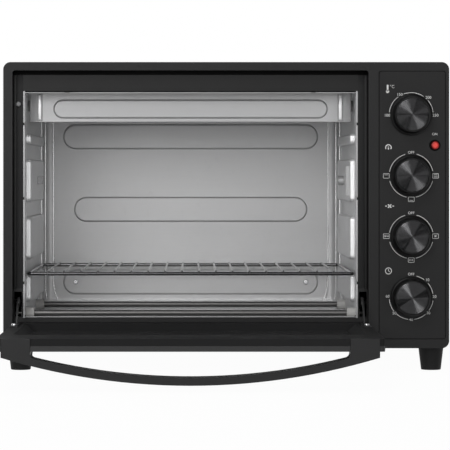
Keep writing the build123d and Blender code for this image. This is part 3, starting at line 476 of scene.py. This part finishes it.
def soften(name, width):
    only(nodes[name])
    bpy.ops.object.duplicate()
    piece = bpy.context.object
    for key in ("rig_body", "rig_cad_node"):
        del piece[key]
    piece.parent = None
    editing(piece)
    bpy.ops.mesh.remove_doubles(threshold=softLook["weld"] * micron)
    bpy.ops.mesh.dissolve_limited(angle_limit=radians(softLook["flat"]))
    bpy.ops.object.mode_set(mode="OBJECT")
    sharp = radians(softAngle.get(name, softLook["angle"]))
    applyModifier(piece, "BEVEL", width=width * mm, segments=softLook["segments"], limit_method="ANGLE",
                  angle_limit=sharp)
    editing(piece)
    bpy.ops.mesh.dissolve_degenerate(threshold=softLook["speck"] * micron)
    done(piece, softLook["smooth"])
    applyModifier(piece, "WEIGHTED_NORMAL", keep_sharp=True)
    dress(piece, name + "Soft", nodeFinish[name], nodeBody[name], (name,))


for name, width in softEdge.items():
    soften(name, width)
print("soft edges:", len(softEdge))


# knobs: a turned skirt and cap, and a spun face of fine rings; outlines are (radius, depth) in millimetres
knobLook = {
    "skirt": [(3.2, 0.0), (21.6, 0.0), (22.4, -0.5), (22.4, -2.4), (21.9, -3.0), (20.6, -3.4), (20.2, -4.2),
              (19.3, -16.4), (19.0, -17.4), (18.5, -18.0), (17.9, -18.0), (17.6, -17.7), (17.6, -16.2),
              (3.2, -16.2)],
    "steps": 96, "smooth": 40, "faceDepth": -17.4, "faceBack": -16.3, "faceRadius": 17.5, "dish": 0.35,
    "rings": 40, "grooves": (0.09, 0.16, 0.125),
}
dials = ["temperature", "mode", "function", "timer"]


def turned(outline, centre):
    piece = lineThrough([centre + Vector((radius, depth, 0)) * mm for radius, depth in outline])
    bpy.ops.mesh.select_all(action="SELECT")
    bpy.ops.mesh.spin(steps=knobLook["steps"], angle=2 * pi, center=centre, axis=(0, 1, 0))
    bpy.ops.mesh.select_all(action="SELECT")
    bpy.ops.mesh.remove_doubles(threshold=micron)
    outwards()
    return piece


def knobCentre(dial):
    low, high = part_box(dial + "_knob")
    return Vector(((low.x + high.x) / 2, high.y, (low.z + high.z) / 2))


def faceOutline():
    radius, depth, back = knobLook["faceRadius"], knobLook["faceDepth"], knobLook["faceBack"]
    outline = [(0.0, depth + knobLook["dish"])]
    steps = 2 * knobLook["rings"]               # a groove and a ridge for each ring
    for n in range(1, steps + 1):
        share = n / steps
        lift = knobLook["dish"] * (1 - share ** 2)
        groove = knobLook["grooves"][n % 3] if n % 2 else 0.0
        outline.append((share * radius, depth + lift + groove))
    return outline + [(radius, back), (0.0, back)]


def makeKnob(dial):
    centre = knobCentre(dial)
    skirt = knobLook["skirt"]
    knob = done(turned(skirt + skirt[:1], centre), knobLook["smooth"])
    dress(knob, dial + "Knob", "knobBlack", dial + "_dial", (dial + "_knob",))
    disc = done(turned(faceOutline(), centre))
    sheet = spunMetal(dial + "Spun", (centre.x, centre.z))
    dress(disc, dial + "Face", sheet, dial + "_dial", (dial + "_knob_face",))


for dial in dials:
    makeKnob(dial)
print("knobs turned:", len(dials))


# bars whose front edges are rounded, for lips, trims and beads
stripLook = {"segments": 4, "smooth": 40, "facing": -0.9}


def strip(low, high, rounding):
    low, high = Vector(low), Vector(high)
    bpy.ops.object.select_all(action="DESELECT")
    bpy.ops.mesh.primitive_cube_add(size=1, location=(low + high) / 2)
    piece = bpy.context.object
    piece.scale = high - low
    fresh()
    editing(piece)
    pickFaces(piece, lambda face: face.normal.y < stripLook["facing"])
    bpy.ops.mesh.bevel(offset=rounding * mm, segments=stripLook["segments"])
    return done(piece, stripLook["smooth"])


def runsBetween(low, high, breaks, gap):
    cuts = sorted(place * mm for place in breaks)
    starts = [low] + [cut + gap / 2 * mm for cut in cuts]
    ends = [cut - gap / 2 * mm for cut in cuts] + [high]
    return zip(starts, ends)


# the liner's folded lip round the oven mouth, broken where its tabs are fixed, and above it a thin
# near-black strip that is painted shadow
lipLook = {
    "sheet": 0.8, "bottom": 58.0, "top": 301.0, "over": 1.3, "inward": 0.9, "proud": 0.7, "round": 0.35,
    "breaks": (266.6, 186.0, 94.7), "breakHeight": 2.6, "topBreaks": (-172, 95), "topBreakWidth": 5.0,
    "topHeight": 0.9, "topRound": 0.2, "shadowLineHeight": 1.4, "shadowLineProud": 0.15,
}
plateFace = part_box("front_plate")[0].y
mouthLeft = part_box("liner_left_wall")[0].x + lipLook["sheet"] * mm
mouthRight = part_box("liner_right_wall")[1].x - lipLook["sheet"] * mm


def mouthLip():
    front = plateFace - lipLook["proud"] * mm
    over, inward = lipLook["over"] * mm, lipLook["inward"] * mm
    bottom, top = lipLook["bottom"] * mm, lipLook["top"] * mm
    left, right = mouthLeft + inward, mouthRight - inward
    runs, topRuns = [], []
    for low, high in runsBetween(bottom - over, top + over, lipLook["breaks"], lipLook["breakHeight"]):
        runs.append(((mouthLeft - over, front, low), (left, plateFace, high)))
        runs.append(((right, front, low), (mouthRight + over, plateFace, high)))
    runs.append(((left, front, bottom - over / 2), (right, plateFace, bottom + inward / 2)))
    topEdge = top - inward + lipLook["topHeight"] * mm
    for low, high in runsBetween(left, right, lipLook["topBreaks"], lipLook["topBreakWidth"]):
        topRuns.append(((low, front, top - inward), (high, plateFace, topEdge)))
    bars = [strip(low, high, lipLook["round"]) for low, high in runs]
    bars += [strip(low, high, lipLook["topRound"]) for low, high in topRuns]
    dress(joined(bars), "mouthLip", "edgeSteelPaintedShade", "housing")
    # painted shadow: a thin near-black strip above the top lip
    shadowLineFront, shadowLineTop = plateFace - lipLook["shadowLineProud"] * mm, topEdge + lipLook["shadowLineHeight"] * mm
    lipShadowStrip = strip((left, shadowLineFront, topEdge), (right, plateFace, shadowLineTop), lipLook["shadowLineProud"] / 2)
    dress(lipShadowStrip, "lipShadowLine", "paintedShadowBlack", "housing")


# black trims in the door recess: a seal on the plate and a raised strip beside the frame, and under the
# frame's top bar a near-black strip that is painted shadow
trimLook = {
    "seal": 0.4, "shadowStripEdge": 4.4, "sealAndShadowRound": 0.1, "lipClear": 0.2,
    "raised": 2.5, "raisedWidth": 3.7, "raisedRound": 0.5,
    "left": -230.1, "right": 153.2, "bottom": 89.0, "top": 324.1, "gap": 0.1,
}


def recessTrims():
    left, right, top = trimLook["left"] * mm, trimLook["right"] * mm, trimLook["top"] * mm
    bottom, gap = trimLook["bottom"] * mm, trimLook["gap"] * mm
    wide, over = trimLook["raisedWidth"] * mm, (lipLook["over"] + trimLook["lipClear"]) * mm
    sealAndShadowFront, stripFront = plateFace - trimLook["seal"] * mm, plateFace - trimLook["raised"] * mm
    shadowStripEdge = top - trimLook["shadowStripEdge"] * mm
    sealAndShadowRound, raisedRound = trimLook["sealAndShadowRound"], trimLook["raisedRound"]
    # painted shadow: a near-black strip under the frame's top bar
    topShadowStrip = strip((left + gap, sealAndShadowFront, shadowStripEdge), (right - gap, plateFace, top - gap), sealAndShadowRound)
    dress(topShadowStrip, "topShadowStrip", "bezelAndShadowBlack", "housing")
    sideSeals = [
        strip((left + wide, sealAndShadowFront, bottom), (mouthLeft - over, plateFace, shadowStripEdge), sealAndShadowRound),
        strip((mouthRight + over, sealAndShadowFront, bottom), (right - wide, plateFace, shadowStripEdge), sealAndShadowRound),
    ]
    dress(joined(sideSeals), "sideSeals", "sideBlack", "housing")
    raisedStrips = [
        strip((left + gap, stripFront, bottom), (left + wide, plateFace, shadowStripEdge), raisedRound),
        strip((right - wide, stripFront, bottom), (right - gap, plateFace, shadowStripEdge), raisedRound),
    ]
    dress(joined(raisedStrips), "recessTrim", "frameBlack", "housing")


# upright beads pressed near the ends of the baffle
beadLook = {"places": (-203.9, 126.1), "width": 4.6, "proud": 1.3, "sunk": 0.4, "round": 1.25,
            "low": 271.6, "high": 300.0}


def baffleBeads():
    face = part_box("upper_baffle")[0].y
    half = beadLook["width"] / 2
    front, rear = face - beadLook["proud"] * mm, face + beadLook["sunk"] * mm
    beads = []
    for place in beadLook["places"]:
        low = ((place - half) * mm, front, beadLook["low"] * mm)
        high = ((place + half) * mm, rear, beadLook["high"] * mm)
        beads.append(strip(low, high, beadLook["round"]))
    dress(joined(beads), "baffleBeads", "beadMetal", "housing")


# creases where the back corners of the liner were folded, in millimetres in from the mouth's side,
# forward from the back wall, and up
creaseLook = {
    "radius": 0.95,
    "paths": [
        [(1.5, 15.8, 302), (1.5, 15.8, 88), (1.5, 16.4, 80), (0.4, 30, 72), (0.1, 60, 67), (0.0, 100, 65)],
        [(5.3, 3.8, 302), (5.3, 3.8, 78), (6.0, 3.6, 68), (7.2, 3.4, 62)],
        [(14.6, 0.1, 302), (14.6, 0.1, 86), (15.4, 0.1, 76), (17.6, 0.1, 67), (20.4, 0.1, 61)],
    ],
}
wireLook = {"resolution": 2, "smooth": 60}


def wireAlong(points, radius):
    piece = lineThrough(points)
    bpy.ops.object.mode_set(mode="OBJECT")
    bpy.ops.object.convert(target="CURVE")
    spline = piece.data.splines[0]
    spline.type = "NURBS"
    spline.order_u = 3
    spline.use_endpoint_u = True
    piece.data.bevel_depth = radius * mm
    piece.data.bevel_resolution = wireLook["resolution"]
    piece.data.use_fill_caps = True
    bpy.ops.object.convert(target="MESH")
    return done(bpy.context.object, wireLook["smooth"])


def cornerCreases():
    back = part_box("liner_back_wall")[1].y - lipLook["sheet"] * mm
    creases = []
    for path in creaseLook["paths"]:
        for side, start in ((1, mouthLeft), (-1, mouthRight)):
            points = []
            for inner, ahead, up in path:
                points.append(Vector((start + side * inner * mm, back - ahead * mm, up * mm)))
            creases.append(wireAlong(points, creaseLook["radius"]))
    dress(joined(creases), "cornerCreases", "creaseMetal", "housing")


mouthLip()
recessTrims()
baffleBeads()
cornerCreases()
print("mouth and liner details made")


# door springs: wound barrels fixed to the base, whose front hooks reach out to the hinge arms
springLook = {"wire": 0.6, "wireSides": 8, "barrel": 3.0, "hook": 16.0, "hookSteps": 10, "eye": 0.8,
              "turns": 24, "turnSteps": 14}


def windBarrel(x, start, end, z):
    wire = springLook["wire"] * mm
    reach = springLook["barrel"] * mm - wire
    turns, steps, sides = springLook["turns"], springLook["turnSteps"], springLook["wireSides"]
    bpy.ops.object.select_all(action="DESELECT")
    bpy.ops.mesh.primitive_circle_add(vertices=sides, radius=wire, location=(reach, 0, 0))
    piece = fresh()
    applyModifier(piece, "SCREW", axis="Y", angle=2 * pi, iterations=turns, steps=steps, render_steps=steps,
                  screw_offset=(end - start) / turns)
    piece.location = (x, start, z)
    editing(piece)
    bpy.ops.mesh.fill_holes(sides=sides)
    outwards()
    return done(piece, wireLook["smooth"])


def doorSprings():
    low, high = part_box("door_springs")
    wire, barrel = springLook["wire"], springLook["barrel"] * mm
    z, hook, steps = (low.z + high.z) / 2, springLook["hook"] * mm, springLook["hookSteps"]
    tail, anchor = low.y + springLook["eye"] * mm, high.y
    springs = []
    sides = ((low.x + barrel, "hinge_arm_left", -1), (high.x - barrel, "hinge_arm_right", 1))
    for x, arm, outward in sides:
        armLow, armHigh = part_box(arm)
        eye = (armLow.x + armHigh.x) / 2 - outward * springLook["eye"] * mm
        front = [Vector((x, tail + hook * n / steps, z)) for n in range(steps + 1)]
        rear = [Vector((x, anchor - hook, z)), Vector((x, anchor, z))]
        springs.append(wireAlong([Vector((eye, tail, z))] + front, wire))
        springs.append(wireAlong(rear, wire))
        springs.append(windBarrel(x, tail + hook, anchor - hook, z))
    piece = joined(springs)
    dress(piece, "doorSpringsWound", "armSteel", None, ("door_springs",))
    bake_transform(piece)


doorSprings()
print("door springs wound:", springLook["turns"], "turns each")


# white marks printed on the control panel: angles in degrees, places in millimetres from each knob's axis
printLook = {
    "depth": 0.05, "ringRadius": 23.7, "ringWidth": 0.55, "ringSteps": 180, "digits": 4.3, "words": 4.0,
    "tipSegments": 4,
    "arcs": {
        "temperature": [(5, 41), (55, 109), (126, 175)],
        "mode": [(12, 75), (105, 170), (193, 257), (282, 347)],
        "function": [(12, 75), (105, 170), (193, 257), (282, 347)],
        "timer": [(9.6, 40), (54, 77), (185, 217), (229, 262), (278, 309.5), (324, 352.5)],
    },
    "numbers": {
        "temperature": [("100", -25.9, -0.8), ("150", -12.3, 21.6), ("200", 18.4, 18.4),
                        ("250", 26.2, -0.8)],
        "timer": [("10", 17.4, 18.8), ("20", 25.0, 0.9), ("30", 18.4, -16.7), ("40", -0.1, -23.8),
                  ("50", -18.1, -17.0), ("60", -25.4, 1.2)],
    },
    "off": {"mode": 24.8, "function": 25.3, "timer": 25.0},
    "signs": {"mode": [(-26.8, -0.3, "top"), (26.2, -0.3, "both"), (0.1, -25.6, "bottom")],
              "function": [(-26.7, 0.4, "fanSpit"), (26.1, 0.4, "fan"), (0.0, -25.3, "spit")]},
}
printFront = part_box("control_panel")[0].y


def panelSpot(dial, right, up):
    centre = knobCentre(dial)
    return Vector((centre.x + right * mm, printFront, centre.z + up * mm))


def beside(centre, right, up):
    return centre + Vector((right * mm, 0, up * mm))


def raised(piece):
    editing(piece)
    bpy.ops.mesh.extrude_region_move(TRANSFORM_OT_translate={"value": (0, -printLook["depth"] * mm, 0)})
    outwards()
    return done(piece)


def arcMark(centre, radius, width, spans):
    bpy.ops.object.select_all(action="DESELECT")
    bpy.ops.mesh.primitive_circle_add(vertices=printLook["ringSteps"], radius=radius * mm, location=centre,
                                      rotation=(pi / 2, 0, 0))
    piece = fresh()
    editing(piece)
    bpy.ops.mesh.extrude_region_move()
    grow = (radius + width) / radius
    bpy.ops.transform.resize(value=(grow, 1, grow), center_override=centre)

    def outside(face):
        angle = degrees(atan2(face.center.z - centre.z, face.center.x - centre.x)) % 360
        return not any(low <= angle <= high for low, high in spans)

    pickFaces(piece, outside)
    bpy.ops.mesh.delete(type="FACE")
    return raised(piece)


def wordMark(words, centre, size):
    bpy.ops.object.select_all(action="DESELECT")
    bpy.ops.object.text_add()
    text = bpy.context.object
    text.data.body = words
    text.data.size = size * mm
    text.data.align_x = "CENTER"
    text.data.align_y = "CENTER"
    text.data.extrude = printLook["depth"] / 2 * mm
    bpy.ops.object.convert(target="MESH")
    piece = bpy.context.object
    piece.rotation_euler = (pi / 2, 0, 0)
    piece.location = centre - Vector((0, printLook["depth"] / 2 * mm, 0))
    return done(piece)


def flatPlate(width, height, tip):
    bpy.ops.object.select_all(action="DESELECT")
    bpy.ops.mesh.primitive_plane_add(size=mm)
    bpy.context.object.scale = (width, height, 1)
    piece = fresh()
    editing(piece)
    if tip:
        bpy.ops.mesh.bevel(offset=tip * mm, segments=printLook["tipSegments"], affect="VERTICES")
    return piece


def stood(piece, centre, turn=0.0):
    bpy.ops.object.mode_set(mode="OBJECT")
    piece.rotation_euler = (pi / 2, -radians(turn), 0)
    piece.location = centre
    fresh()
    return raised(piece)


def barMark(centre, width, height, turn=0.0, tip=0.0):
    return stood(flatPlate(width, height, tip), centre, turn)


def boxMark(centre, width, height, line, tip):
    piece = flatPlate(width, height, tip)
    bpy.ops.mesh.select_all(action="SELECT")
    bpy.ops.mesh.inset(thickness=line * mm)
    bpy.ops.mesh.delete(type="FACE")
    return stood(piece, centre)


# the boxed signs round the dials, as shares of the box
boxLook = {
    "width": 6.8, "height": 5.4, "line": 0.45, "tip": 0.9,
    "heaterUp": 0.20, "heaterWidth": 0.6, "fan": 0.5, "blade": 0.26, "bladeTip": 0.12,
    "sharedFan": 0.44, "sharedFanLeft": 0.18, "sharedSpit": 0.3, "sharedSpitRight": 0.2,
    "spit": 0.62, "prongOut": 0.36, "prongHeight": 0.3,
}


def fanMark(centre, size):
    blade, tip = size * boxLook["blade"], size * boxLook["bladeTip"]
    return [barMark(centre, size, blade, turn, tip) for turn in (45, 135)]


def spitMark(centre, reach):
    line, prong = boxLook["line"], boxLook["height"] * boxLook["prongHeight"]
    marks = [barMark(centre, reach, line)]
    for side in (-1, 1):
        marks.append(barMark(beside(centre, side * reach * boxLook["prongOut"], 0), line, prong))
    return marks


def ovenSign(centre, kind):
    width, height, line = boxLook["width"], boxLook["height"], boxLook["line"]
    marks = [boxMark(centre, width, height, line, boxLook["tip"])]
    heaterUp, heaterWidth = height * boxLook["heaterUp"], width * boxLook["heaterWidth"]
    if kind in ("top", "both"):
        marks.append(barMark(beside(centre, 0, heaterUp), heaterWidth, line))
    if kind in ("bottom", "both"):
        marks.append(barMark(beside(centre, 0, -heaterUp), heaterWidth, line))
    if kind == "fan":
        marks += fanMark(centre, height * boxLook["fan"])
    if kind == "spit":
        marks += spitMark(centre, width * boxLook["spit"])
    if kind == "fanSpit":
        fanSpot = beside(centre, -width * boxLook["sharedFanLeft"], 0)
        marks += fanMark(fanSpot, height * boxLook["sharedFan"])
        spitSpot = beside(centre, width * boxLook["sharedSpitRight"], 0)
        marks += spitMark(spitSpot, width * boxLook["sharedSpit"])
    return marks


# the signs above the dials, each round its own spot: sizes are (width, height)
signLook = {
    "thermometer": {"spot": ("temperature", -25.4, 28.0),
                    "tube": (1.9, 7.4), "tubeUp": 0.6, "tubeTip": 0.85,
                    "bulb": 3.6, "bulbUp": -3.0, "bulbTip": 1.7, "unit": (4.9, 2.0), "unitSize": 4.6},
    "flame": {"spot": ("mode", -24.5, 30.2), "arch": 2.5, "archLine": 1.0,
              "archSpans": [(0, 215), (325, 360)], "body": (1.5, 2.6), "bodyUp": -0.9, "bodyTip": 0.7,
              "tongue": (0.9, 1.8), "tongueUp": 0.4, "tongueTurn": 12, "tongueTip": 0.4},
    "fan": {"spot": ("function", -23.2, 32.8), "size": 5.2,
            "tick": (1.9, 0.9), "tickOut": 3.8, "tickTip": 0.3},
    "clock": {"spot": ("timer", -24.5, 28.6), "rim": 2.9, "rimLine": 0.75,
              "long": (0.7, 2.2), "longUp": 0.9,
              "short": (1.9, 0.7), "shortAt": (0.7, -0.5), "shortTurn": -38},
    "lampWord": {"up": 6.0, "size": 3.7},
}


def thermometerSign(look):
    spot = panelSpot(*look["spot"])
    return [
        barMark(beside(spot, 0, look["tubeUp"]), *look["tube"], 0, look["tubeTip"]),
        barMark(beside(spot, 0, look["bulbUp"]), look["bulb"], look["bulb"], 0, look["bulbTip"]),
        wordMark("°C", beside(spot, *look["unit"]), look["unitSize"]),
    ]


def flameSign(look):
    spot = panelSpot(*look["spot"])
    return [
        arcMark(spot, look["arch"], look["archLine"], look["archSpans"]),
        barMark(beside(spot, 0, look["bodyUp"]), *look["body"], 0, look["bodyTip"]),
        barMark(beside(spot, 0, look["tongueUp"]), *look["tongue"], look["tongueTurn"], look["tongueTip"]),
    ]


def fanSign(look):
    spot = panelSpot(*look["spot"])
    marks = fanMark(spot, look["size"])
    for side in (-1, 1):
        marks.append(barMark(beside(spot, side * look["tickOut"], 0), *look["tick"], 0, look["tickTip"]))
    return marks


def clockSign(look):
    spot = panelSpot(*look["spot"])
    return [
        arcMark(spot, look["rim"], look["rimLine"], [(0, 360)]),
        barMark(beside(spot, 0, look["longUp"]), *look["long"]),
        barMark(beside(spot, *look["shortAt"]), *look["short"], look["shortTurn"]),
    ]


def lampWord(look):
    low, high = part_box("lamp_holder")
    spot = Vector(((low.x + high.x) / 2, printFront, high.z + look["up"] * mm))
    return [wordMark("ON", spot, look["size"])]


def printPanel():
    marks = thermometerSign(signLook["thermometer"]) + flameSign(signLook["flame"])
    marks += fanSign(signLook["fan"]) + clockSign(signLook["clock"]) + lampWord(signLook["lampWord"])
    ringWidth = printLook["ringWidth"]
    ringInner = printLook["ringRadius"] - ringWidth / 2
    for dial, spans in printLook["arcs"].items():
        marks.append(arcMark(panelSpot(dial, 0, 0), ringInner, ringWidth, spans))
        for words, right, up in printLook["numbers"].get(dial, []):
            marks.append(wordMark(words, panelSpot(dial, right, up), printLook["digits"]))
        if dial in printLook["off"]:
            marks.append(wordMark("OFF", panelSpot(dial, 0, printLook["off"][dial]), printLook["words"]))
        for right, up, kind in printLook["signs"].get(dial, []):
            marks += ovenSign(panelSpot(dial, right, up), kind)
    dress(joined(marks), "dialMarks", "printWhite", "housing")
    print("dial marks printed:", len(marks))


printPanel()


# studio: white surround, soft lamps and the camera of the photograph
photoView = {"place": (-0.0365, -2.8375, 0.2125), "focal": 208.0, "sensor": 36, "shift": (0.0727, -0.1133)}
lamps = {
    "keyBox": {"place": (-0.62, -1.85, 1.60), "aim": (0.05, 0.05, 0.16), "size": (0.9, 0.9), "power": 20},
    "frontBox": {"place": (0.15, -3.20, 0.74), "aim": (-0.04, 0.1, 0.17), "size": (4.4, 1.3), "power": 36},
    "sideBox": {"place": (-0.95, -2.90, 0.62), "aim": (0.0, 0.2, 0.17), "size": (0.9, 0.9), "power": 9},
    "topBox": {"place": (0.0, 0.10, 2.2), "aim": (0.0, 0.1, 0.2), "size": (1.4, 1.4), "power": 9},
}
surround = {"light": 0.15, "white": 1.0, "behindSpan": (0.0, 0.35)}
floorLook = {"size": 14, "dark": (0.80, 0.80, 0.80), "light": (0.82, 0.82, 0.82), "cloud": 3, "detail": 2,
             "whiteShare": 0.97}
pureWhite = (1, 1, 1, 1)


def addLamps():
    for name, look in lamps.items():
        bpy.ops.object.light_add(type="AREA", location=look["place"])
        lamp = bpy.context.object
        lamp.name = name
        lamp.data.energy = look["power"]
        lamp.data.shape = "RECTANGLE"
        lamp.data.size, lamp.data.size_y = look["size"]
        aim = Vector(look["aim"]) - Vector(look["place"])
        lamp.rotation_euler = aim.to_track_quat("-Z", "Y").to_euler()


def seenDirect(paint):
    ray = paint.add("ShaderNodeLightPath", output="Is Camera Ray")
    gloss = paint.add("ShaderNodeLightPath", output="Is Glossy Ray")
    through = paint.add("ShaderNodeLightPath", output="Is Transmission Ray")
    clamped = {"operation": "ADD", "use_clamp": True}
    return paint.add("ShaderNodeMath", clamped, {0: ray + gloss, 1: through})


def addWorld():
    world = bpy.data.worlds.new("studioWorld")
    scene.world = world
    world.use_nodes = True
    paint = Paint("studioWorld", world.node_tree)
    toward = paint.add("ShaderNodeTexCoord", output="Generated")
    # white behind the oven, dim behind the camera
    behind = paint.ramp(paint.part(toward, "Y"), *surround["behindSpan"])
    share = seenDirect(paint) * behind
    strength = share * (surround["white"] - surround["light"]) + surround["light"]
    glow = paint.add("ShaderNodeBackground", None, {"Color": pureWhite, "Strength": strength})
    paint.add("ShaderNodeOutputWorld", None, {"Surface": glow})


def addFloor():
    bpy.ops.object.select_all(action="DESELECT")
    bpy.ops.mesh.primitive_plane_add(size=floorLook["size"])
    floor = bpy.context.object
    floor.name = "paleFloor"
    paint = Paint("paleFloor")
    cloud = paint.noise(paint.place(), floorLook["cloud"], floorLook["detail"])
    base = paint.mix(cloud, tint(floorLook["dark"]), tint(floorLook["light"]))
    matt = paint.add("ShaderNodeBsdfDiffuse", None, {"Color": base})
    white = paint.add("ShaderNodeEmission", None, {"Color": pureWhite, "Strength": surround["white"]})
    share = seenDirect(paint) * floorLook["whiteShare"]
    surface = paint.add("ShaderNodeMixShader", None, {0: share, 1: matt, 2: white})
    paint.add("ShaderNodeOutputMaterial", None, {"Surface": surface})
    floor.data.materials.append(paint.material)


def addCamera():
    bpy.ops.object.camera_add(location=photoView["place"], rotation=(radians(90), 0, 0))
    camera = bpy.context.object
    camera.data.sensor_width = photoView["sensor"]
    camera.data.lens = photoView["focal"]
    camera.data.shift_x, camera.data.shift_y = photoView["shift"]
    scene.camera = camera


addLamps()
addWorld()
addFloor()
addCamera()
scene.view_settings.view_transform = "Standard"
print("studio set")
